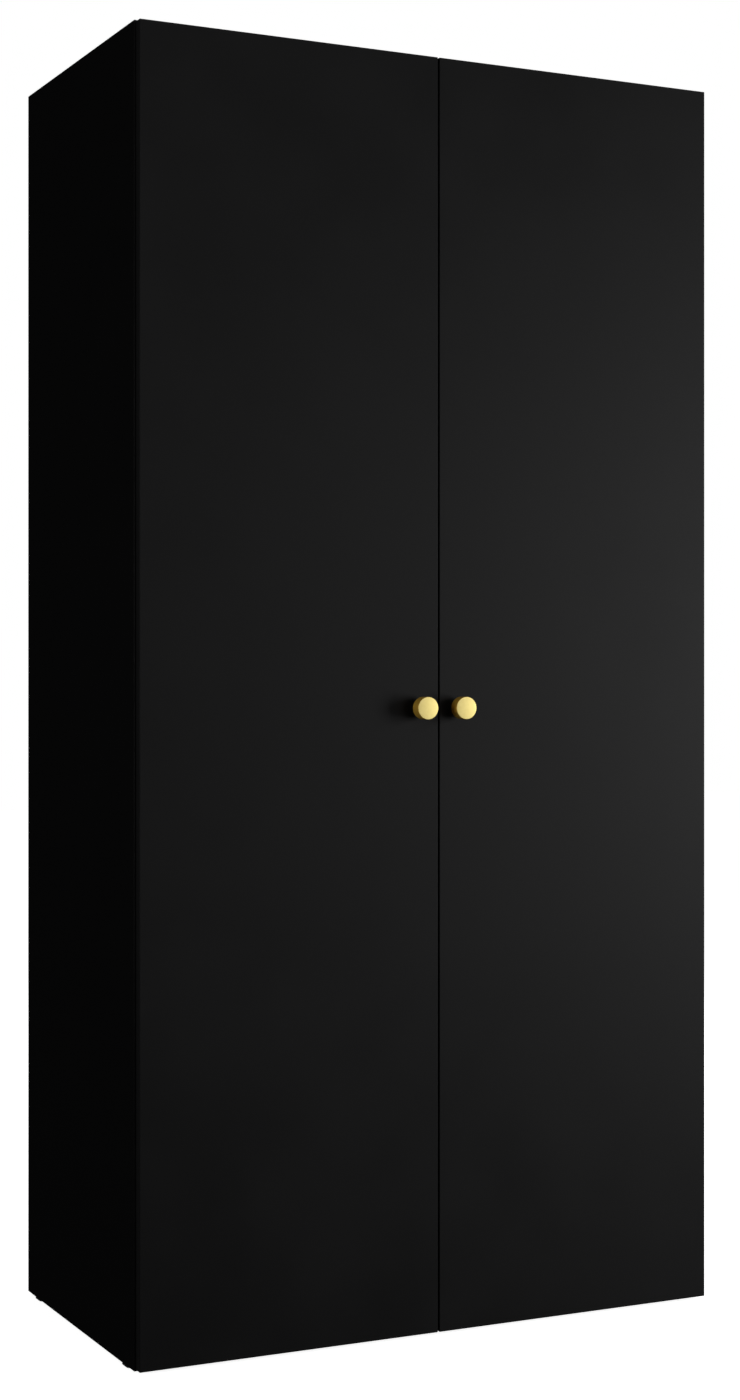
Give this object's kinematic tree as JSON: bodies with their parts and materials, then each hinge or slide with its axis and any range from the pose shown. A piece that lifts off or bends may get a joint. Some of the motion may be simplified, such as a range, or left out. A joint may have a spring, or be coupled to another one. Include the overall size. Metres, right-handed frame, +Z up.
{
  "type": "wardrobe with doors",
  "caption": "Tall matt black wardrobe with slab doors on concealed hinges, round gold knobs, shelves on one side and a hanging rail on the other.",
  "frame": {"origin": "on the floor, in the middle of the closed wardrobe's footprint, knobs included", "axes": "+X to the right seen from the front, +Y to the back, +Z up; the doors face -Y"},
  "size_m": [1, 0.547, 2],
  "materials": {
    "black_laminate": "matt black melamine on particle board, with black edging",
    "black_hardboard": "matt black lacquered hardboard",
    "satin_gold": "satin, fine turning lines",
    "nickel_steel": "nickel plated",
    "chrome_tube": "polished",
    "black_plastic": "moulded, matt"
  },
  "bodies": {
    "carcass": {"side_panel_left": "black_laminate", "side_panel_right": "black_laminate", "top_panel": "black_laminate", "bottom_panel": "black_laminate", "centre_divider": "black_laminate", "hat_shelf": "black_laminate", "shelf_1": "black_laminate", "shelf_2": "black_laminate", "shelf_3": "black_laminate", "shelf_4": "black_laminate", "back_panel_left": "black_hardboard", "back_panel_right": "black_hardboard", "back_joint_strip": "black_plastic", "hanging_rail": "chrome_tube", "rail_socket_left": "nickel_steel", "rail_socket_right": "nickel_steel", "glide_front_left": "black_plastic", "glide_front_centre": "black_plastic", "glide_front_right": "black_plastic", "glide_rear_left": "black_plastic", "glide_rear_centre": "black_plastic", "glide_rear_right": "black_plastic", "wall_bracket_left": "nickel_steel", "hinge_arm_left_low": "nickel_steel", "hinge_arm_left_middle": "nickel_steel", "hinge_arm_left_high": "nickel_steel", "hinge_plate_left_low": "nickel_steel", "hinge_plate_left_middle": "nickel_steel", "hinge_plate_left_high": "nickel_steel", "wall_bracket_right": "nickel_steel", "hinge_arm_right_low": "nickel_steel", "hinge_arm_right_middle": "nickel_steel", "hinge_arm_right_high": "nickel_steel", "hinge_plate_right_low": "nickel_steel", "hinge_plate_right_middle": "nickel_steel", "hinge_plate_right_high": "nickel_steel"},
    "outer_links_left": {"hinge_outer_link_left_low": "nickel_steel", "hinge_outer_link_left_middle": "nickel_steel", "hinge_outer_link_left_high": "nickel_steel"},
    "door_left": {"door_left": "black_laminate", "knob_left": "satin_gold", "knob_screw_left": "nickel_steel", "hinge_cup_left_low": "nickel_steel", "hinge_cup_left_middle": "nickel_steel", "hinge_cup_left_high": "nickel_steel"},
    "inner_links_left": {"hinge_inner_link_left_low": "nickel_steel", "hinge_inner_link_left_middle": "nickel_steel", "hinge_inner_link_left_high": "nickel_steel"},
    "outer_links_right": {"hinge_outer_link_right_low": "nickel_steel", "hinge_outer_link_right_middle": "nickel_steel", "hinge_outer_link_right_high": "nickel_steel"},
    "door_right": {"door_right": "black_laminate", "knob_right": "satin_gold", "knob_screw_right": "nickel_steel", "hinge_cup_right_low": "nickel_steel", "hinge_cup_right_middle": "nickel_steel", "hinge_cup_right_high": "nickel_steel"},
    "inner_links_right": {"hinge_inner_link_right_low": "nickel_steel", "hinge_inner_link_right_middle": "nickel_steel", "hinge_inner_link_right_high": "nickel_steel"}
  },
  "joints": [
    {"name": "outer_links_left_turn", "type": "hinge", "parent": "carcass", "child": "outer_links_left", "pos_m": [-0.465, -0.2165, 1.002], "axis": [0, 0, -1], "range_deg": [-25.39, 0]},
    {"name": "door_left_swing", "type": "hinge", "parent": "outer_links_left", "child": "door_left", "pos_m": [-0.4899, -0.2295, 1.002], "axis": [0, 0, -1], "range_deg": [0, 119.38]},
    {"name": "inner_links_left_turn", "type": "hinge", "parent": "carcass", "child": "inner_links_left", "pos_m": [-0.4658, -0.2363, 1.002], "axis": [0, 0, -1], "range_deg": [-46.07, 0]},
    {"name": "outer_links_right_turn", "type": "hinge", "parent": "carcass", "child": "outer_links_right", "pos_m": [0.465, -0.2165, 1.002], "axis": [0, 0, 1], "range_deg": [-25.39, 0]},
    {"name": "door_right_swing", "type": "hinge", "parent": "outer_links_right", "child": "door_right", "pos_m": [0.4899, -0.2295, 1.002], "axis": [0, 0, 1], "range_deg": [0, 119.38]},
    {"name": "inner_links_right_turn", "type": "hinge", "parent": "carcass", "child": "inner_links_right", "pos_m": [0.4658, -0.2363, 1.002], "axis": [0, 0, 1], "range_deg": [-46.07, 0]}
  ],
  "couplings": [
    {"joint": "outer_links_left_turn", "follows": "door_left_swing", "ratio": -0.2126},
    {"joint": "inner_links_left_turn", "follows": "door_left_swing", "ratio": -0.38583},
    {"joint": "outer_links_right_turn", "follows": "door_right_swing", "ratio": -0.2126},
    {"joint": "inner_links_right_turn", "follows": "door_right_swing", "ratio": -0.38583}
  ]
}
